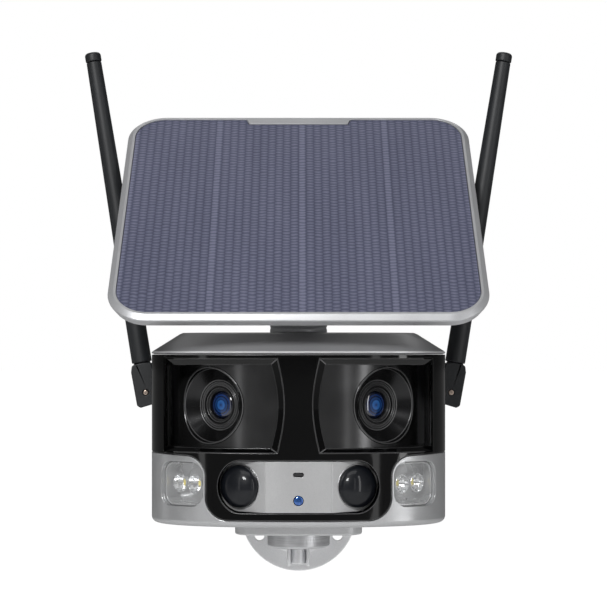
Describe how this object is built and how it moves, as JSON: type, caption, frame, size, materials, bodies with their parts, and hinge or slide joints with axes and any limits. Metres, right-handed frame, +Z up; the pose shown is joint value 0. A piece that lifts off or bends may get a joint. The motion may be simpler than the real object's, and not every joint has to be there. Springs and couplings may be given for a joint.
{
  "type": "solar-powered security camera",
  "caption": "Wall-mounted security camera with two angled eyes, spotlights, motion sensors, folding antennas and a tilting solar panel.",
  "frame": {"origin": "centre of the wall bracket's back face, on the wall", "axes": "+Y into the wall, the camera looks along -Y, +Z up"},
  "size_m": [0.2476, 0.154, 0.307],
  "materials": {
    "silver": "satin silver-grey lacquer",
    "gunmetal": "dark gunmetal lacquer",
    "gloss_black": "piano black",
    "satin_black": "satin black moulding",
    "rubber": "matte rubber",
    "steel": "brushed steel",
    "copper": "copper-tinted rivet",
    "cells": "textured laminate over dark blue cells",
    "blue_glass": "blue coated optical glass",
    "clear": "clear polycarbonate",
    "reflector": "silvered reflector",
    "board": "green solder mask",
    "battery": "blue shrink wrap"
  },
  "bodies": {
    "bracket": {"wall_bracket": "silver", "socket_ring": "silver"},
    "arm": {"swivel_arm": "silver", "clamp_bolt": "steel"},
    "head": {"swivel_collar": "silver", "base_plate": "silver", "base_screw_right": "steel", "base_screw_left": "steel", "rear_shell": "silver", "front_bezel": "gloss_black", "top_cover": "gunmetal", "cover_gasket": "rubber", "eye_shroud_right": "gloss_black", "eye_shroud_left": "gloss_black", "eye_cone_right": "satin_black", "eye_cone_left": "satin_black", "lens_barrel_right": "satin_black", "lens_barrel_left": "satin_black", "lens_glass_right": "blue_glass", "lens_glass_left": "blue_glass", "camera_board_right": "board", "camera_board_left": "board", "center_plate": "silver", "pir_dome_right": "satin_black", "pir_dome_left": "satin_black", "pir_sensor_right": "steel", "pir_sensor_left": "steel", "microphone": "rubber", "status_light": "blue_glass", "light_cover_right": "clear", "light_cover_left": "clear", "light_tray_right": "reflector", "light_tray_left": "reflector", "led_outer_right": "clear", "led_outer_left": "clear", "led_inner_right": "clear", "led_inner_left": "clear", "main_board": "board", "battery_pack": "battery", "speaker": "satin_black", "port_panel": "satin_black", "panel_neck": "gunmetal"},
    "panel": {"panel_frame": "silver", "solar_laminate": "cells", "panel_back": "satin_black", "panel_bracket": "gunmetal", "neck_bolt": "steel", "neck_nut": "satin_black"},
    "antenna_base_right": {"antenna_base_right": "satin_black", "antenna_pin_right": "copper"},
    "antenna_base_left": {"antenna_base_left": "satin_black", "antenna_pin_left": "copper"},
    "antenna_right": {"antenna_rod_right": "satin_black", "antenna_cap_right": "satin_black"},
    "antenna_left": {"antenna_rod_left": "satin_black", "antenna_cap_left": "satin_black"},
    "flap": {"service_flap": "rubber"},
    "button": {"power_button": "rubber"}
  },
  "joints": [
    {"name": "arm_tilt", "type": "hinge", "parent": "bracket", "child": "arm", "pos_m": [0, -0.0215, 0], "axis": [1, 0, 0], "range_deg": [-4, 20]},
    {"name": "head_pan", "type": "hinge", "parent": "arm", "child": "head", "pos_m": [0, -0.092, 0], "axis": [0, 0, 1], "range_deg": [-15, 15]},
    {"name": "panel_tilt", "type": "hinge", "parent": "head", "child": "panel", "pos_m": [0, -0.0807, 0.1562], "axis": [1, 0, 0], "range_deg": [-12, 0]},
    {"name": "flap_open", "type": "hinge", "parent": "head", "child": "flap", "pos_m": [0, -0.0407, 0.034], "axis": [1, 0, 0], "range_deg": [-100, 0]},
    {"name": "power_press", "type": "slide", "parent": "head", "child": "button", "axis": [0, -1, 0], "range_m": [0, 0.0012], "stiffness_N_per_m": 600},
    {"name": "antenna_swivel_right", "type": "hinge", "parent": "head", "child": "antenna_base_right", "pos_m": [0.088, -0.05, 0.075], "axis": [1, 0, 0], "range_deg": [-12, 10]},
    {"name": "antenna_fold_right", "type": "hinge", "parent": "antenna_base_right", "child": "antenna_right", "pos_m": [0.088, -0.05, 0.075], "axis": [0, 1, 0], "range_deg": [0, 80]},
    {"name": "antenna_swivel_left", "type": "hinge", "parent": "head", "child": "antenna_base_left", "pos_m": [-0.088, -0.05, 0.075], "axis": [1, 0, 0], "range_deg": [-12, 10]},
    {"name": "antenna_fold_left", "type": "hinge", "parent": "antenna_base_left", "child": "antenna_left", "pos_m": [-0.088, -0.05, 0.075], "axis": [0, 1, 0], "range_deg": [-80, 0]}
  ]
}
